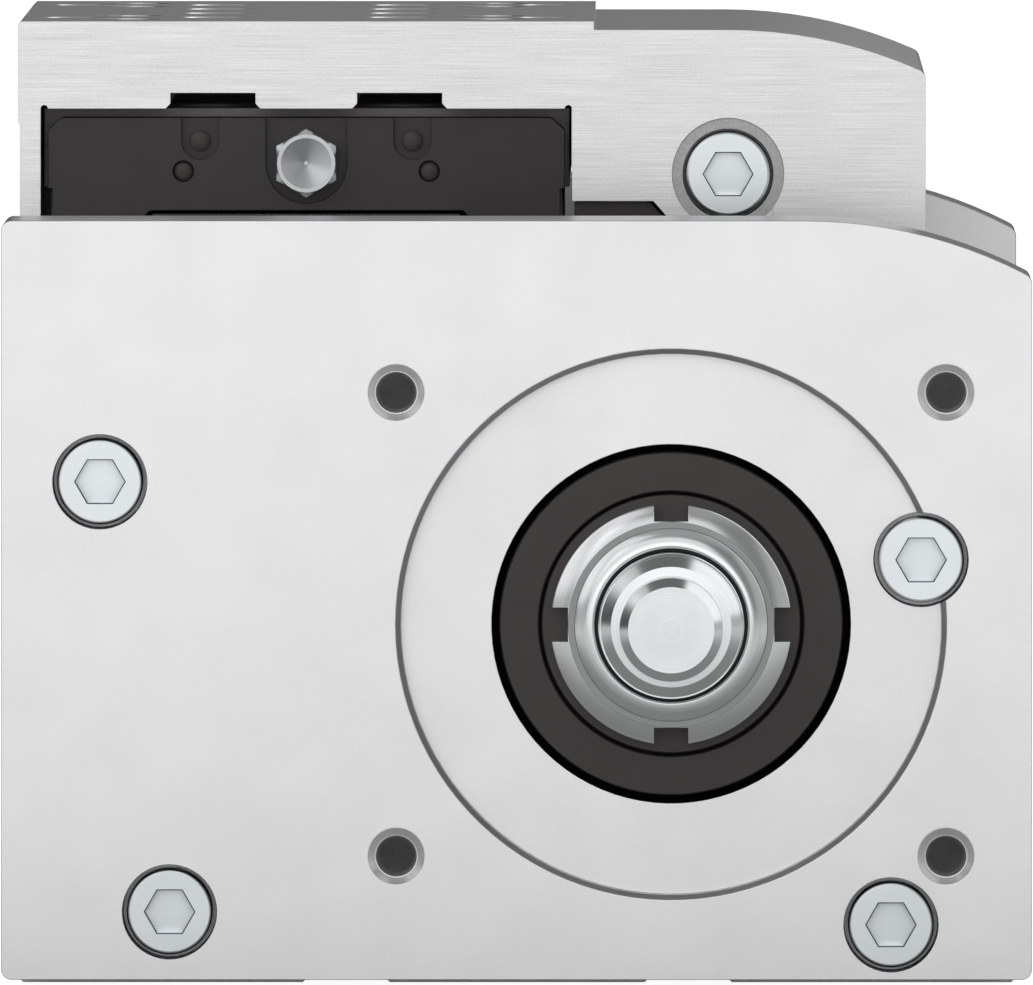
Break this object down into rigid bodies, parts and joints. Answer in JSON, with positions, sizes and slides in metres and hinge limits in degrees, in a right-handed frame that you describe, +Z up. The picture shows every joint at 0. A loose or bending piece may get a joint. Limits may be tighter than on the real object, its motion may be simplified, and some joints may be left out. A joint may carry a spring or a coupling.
{
  "type": "ball screw linear module",
  "caption": "Linear module: a flat carriage on a wide profile rail, driven by an offset ball screw between two end plates on an open aluminium extrusion with T-slots.",
  "frame": {"origin": "bottom centre of the whole module, on the underside of the base extrusion", "axes": "+X across the module towards the screw, +Y along the screw away from the drive end, +Z up to the carriage pad"},
  "size_m": [0.12, 0.287, 0.1117],
  "materials": {
    "extruded_aluminium": "clear anodised extrusion",
    "blasted_aluminium": "bead blasted and clear anodised",
    "milled_aluminium": "milled, fine lines across",
    "ground_steel": "ground and hardened",
    "turned_steel": "turned and polished",
    "plated_steel": "zinc plated screw",
    "black_steel": "black oxide",
    "bearing_steel": "ground",
    "dark_plastic": "moulded, fine grain",
    "rubber": "matt"
  },
  "bodies": {
    "base": {"base_profile": "extruded_aluminium", "guide_rail": "ground_steel", "rail_screws": "black_steel", "rail_hole_caps": "dark_plastic", "drive_end_plate": "blasted_aluminium", "rear_end_plate": "blasted_aluminium", "drive_plate_screws": "plated_steel", "rear_plate_screws": "plated_steel", "end_bumpers": "rubber", "fixed_bearing_outer_ring": "bearing_steel", "fixed_bearing_balls": "bearing_steel", "bearing_retainer": "black_steel", "floating_bearing_outer_ring": "bearing_steel", "floating_bearing_balls": "bearing_steel"},
    "screw": {"ball_screw": "turned_steel", "lock_nut": "turned_steel", "labyrinth_ring": "black_steel", "fixed_bearing_inner_ring": "bearing_steel", "floating_bearing_inner_ring": "bearing_steel", "rear_circlip": "black_steel"},
    "carriage": {"carriage_plate": "milled_aluminium", "front_block_body": "ground_steel", "front_block_end_caps": "dark_plastic", "rear_block_body": "ground_steel", "rear_block_end_caps": "dark_plastic", "end_cap_screws": "black_steel", "grease_nipples": "plated_steel", "block_screws": "plated_steel", "grease_port_screws": "plated_steel", "channel_wipers": "dark_plastic", "nut_housing": "milled_aluminium", "housing_screws": "black_steel", "ball_nut": "ground_steel", "nut_flange_screws": "black_steel", "nut_wipers": "rubber"}
  },
  "joints": [
    {"name": "screw_spin", "type": "hinge", "parent": "base", "child": "screw", "pos_m": [0.018, 0, 0.0427], "axis": [0, -1, 0], "range_deg": [-632, 632]},
    {"name": "carriage_slide", "type": "slide", "parent": "base", "child": "carriage", "axis": [0, 1, 0], "range_m": [-0.035, 0.035]}
  ],
  "couplings": [
    {"joint": "screw_spin", "follows": "carriage_slide", "rad_per_m": 314.16}
  ]
}
